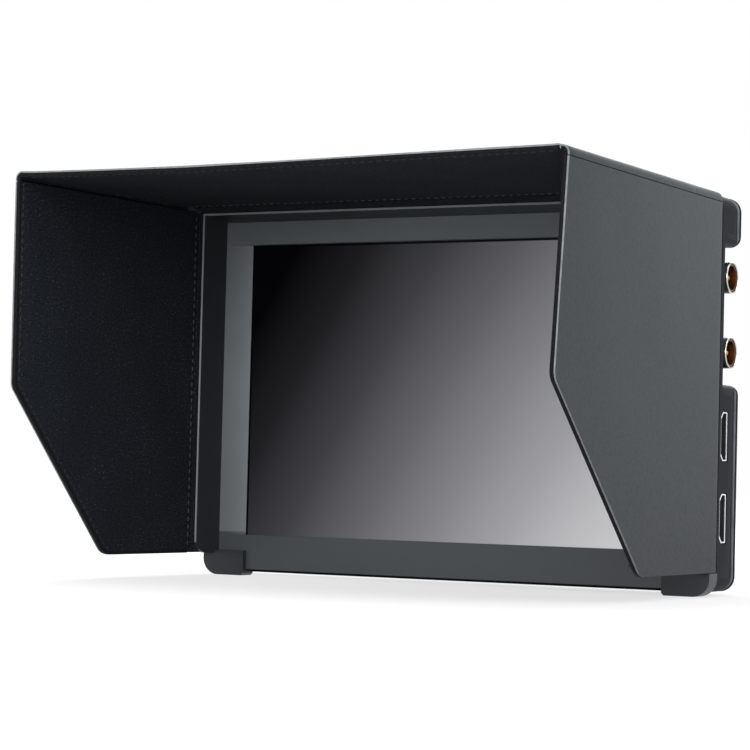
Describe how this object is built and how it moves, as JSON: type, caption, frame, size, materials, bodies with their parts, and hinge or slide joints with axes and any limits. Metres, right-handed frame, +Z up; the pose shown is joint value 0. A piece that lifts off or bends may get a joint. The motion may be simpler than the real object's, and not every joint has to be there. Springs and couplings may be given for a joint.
{
  "type": "camera field monitor",
  "caption": "Flat camera-top field monitor with a deep folding sun hood, side video and coaxial jacks, top buttons and a slide-on battery plate on the back.",
  "frame": {"origin": "mouth of the tripod thread, in the middle of the underside", "axes": "+X to the right of a viewer who faces the screen, +Y from the screen towards the back, +Z up; the screen and the hood's mouth face -Y"},
  "size_m": [0.1796, 0.1438, 0.1232],
  "materials": {
    "bezel_plastic": "satin",
    "casing_plastic": "satin",
    "cover_plastic": "matte",
    "frame_plastic": "satin",
    "button_plastic": "satin",
    "light_lens": "gloss",
    "display_glass": "gloss",
    "diffuser_sheet": "matte",
    "tray_steel": "satin",
    "spreader_aluminium": "satin",
    "turned_brass": "satin",
    "board_laminate": "satin",
    "chip_resin": "matte",
    "ribbon_film": "satin",
    "screw_steel": "satin",
    "blackened_brass": "satin",
    "nickel_plate": "polished",
    "contact_gold": "polished",
    "insulator_plastic": "satin",
    "shell_steel": "polished",
    "socket_plastic": "satin",
    "latch_plastic": "gloss",
    "leatherette": "satin",
    "flap_card": "matte",
    "lining_cloth": "matte"
  },
  "bodies": {
    "monitor": {"front_bezel": "bezel_plastic", "status_light": "light_lens", "lcd_panel": "display_glass", "backlight_unit": "diffuser_sheet", "panel_tray": "tray_steel", "heat_spreader": "spreader_aluminium", "board_standoffs": "turned_brass", "main_board": "board_laminate", "board_chips": "chip_resin", "ribbon_cable": "ribbon_film", "speaker": "chip_resin", "middle_casing": "casing_plastic", "rear_cover": "cover_plastic", "casing_screws": "screw_steel", "tripod_insert": "turned_brass", "coax_in_jack": "blackened_brass", "coax_out_jack": "blackened_brass", "coax_insulators": "insulator_plastic", "coax_contacts": "contact_gold", "coax_nuts": "nickel_plate", "video_in_port": "shell_steel", "video_out_port": "shell_steel", "port_tongues": "socket_plastic", "power_jack": "socket_plastic", "power_pin": "shell_steel", "headphone_jack": "socket_plastic", "battery_plate": "cover_plastic", "plate_screws": "screw_steel", "battery_contacts": "contact_gold", "latch_spring": "screw_steel", "button_board": "board_laminate", "key_switches": "insulator_plastic"},
    "power_button": {"power_button": "button_plastic"},
    "input_button": {"input_button": "button_plastic"},
    "menu_button": {"menu_button": "button_plastic"},
    "down_button": {"down_button": "button_plastic"},
    "up_button": {"up_button": "button_plastic"},
    "battery_latch": {"battery_latch": "latch_plastic"},
    "hood_frame": {"hood_frame": "frame_plastic", "frame_skin": "leatherette"},
    "left_flap": {"left_flap_board": "flap_card", "left_flap_skin": "leatherette", "left_flap_lining": "lining_cloth"},
    "right_flap": {"right_flap_board": "flap_card", "right_flap_skin": "leatherette", "right_flap_lining": "lining_cloth"},
    "top_flap": {"top_flap_board": "flap_card", "top_flap_skin": "leatherette", "top_flap_lining": "lining_cloth", "left_corner_lip": "leatherette", "right_corner_lip": "leatherette"}
  },
  "joints": [
    {"name": "power_press", "type": "slide", "parent": "monitor", "child": "power_button", "axis": [0, 0, -1], "range_m": [0, 0.0006], "stiffness_N_per_m": 1500, "springref_m": -0.0003},
    {"name": "input_press", "type": "slide", "parent": "monitor", "child": "input_button", "axis": [0, 0, -1], "range_m": [0, 0.0006], "stiffness_N_per_m": 1500, "springref_m": -0.0003},
    {"name": "menu_press", "type": "slide", "parent": "monitor", "child": "menu_button", "axis": [0, 0, -1], "range_m": [0, 0.0006], "stiffness_N_per_m": 1500, "springref_m": -0.0003},
    {"name": "down_press", "type": "slide", "parent": "monitor", "child": "down_button", "axis": [0, 0, -1], "range_m": [0, 0.0006], "stiffness_N_per_m": 1500, "springref_m": -0.0003},
    {"name": "up_press", "type": "slide", "parent": "monitor", "child": "up_button", "axis": [0, 0, -1], "range_m": [0, 0.0006], "stiffness_N_per_m": 1500, "springref_m": -0.0003},
    {"name": "latch_press", "type": "slide", "parent": "monitor", "child": "battery_latch", "axis": [0, -1, 0], "range_m": [0, 0.0014], "stiffness_N_per_m": 600, "springref_m": -0.001, "deforming": ["latch_spring"]},
    {"name": "hood_slide", "type": "slide", "parent": "monitor", "child": "hood_frame", "axis": [0, -1, 0], "range_m": [0, 0.03]},
    {"name": "left_flap_fold", "type": "hinge", "parent": "hood_frame", "child": "left_flap", "pos_m": [-0.0898, -0.0235, 0.06095], "axis": [0, 0, 1], "range_deg": [0, 90]},
    {"name": "right_flap_fold", "type": "hinge", "parent": "hood_frame", "child": "right_flap", "pos_m": [0.0898, -0.0255, 0.06095], "axis": [0, 0, -1], "range_deg": [0, 90]},
    {"name": "top_flap_fold", "type": "hinge", "parent": "hood_frame", "child": "top_flap", "pos_m": [0, -0.029, 0.12135], "axis": [1, 0, 0], "range_deg": [0, 90], "deforming": ["left_corner_lip", "right_corner_lip"]}
  ]
}
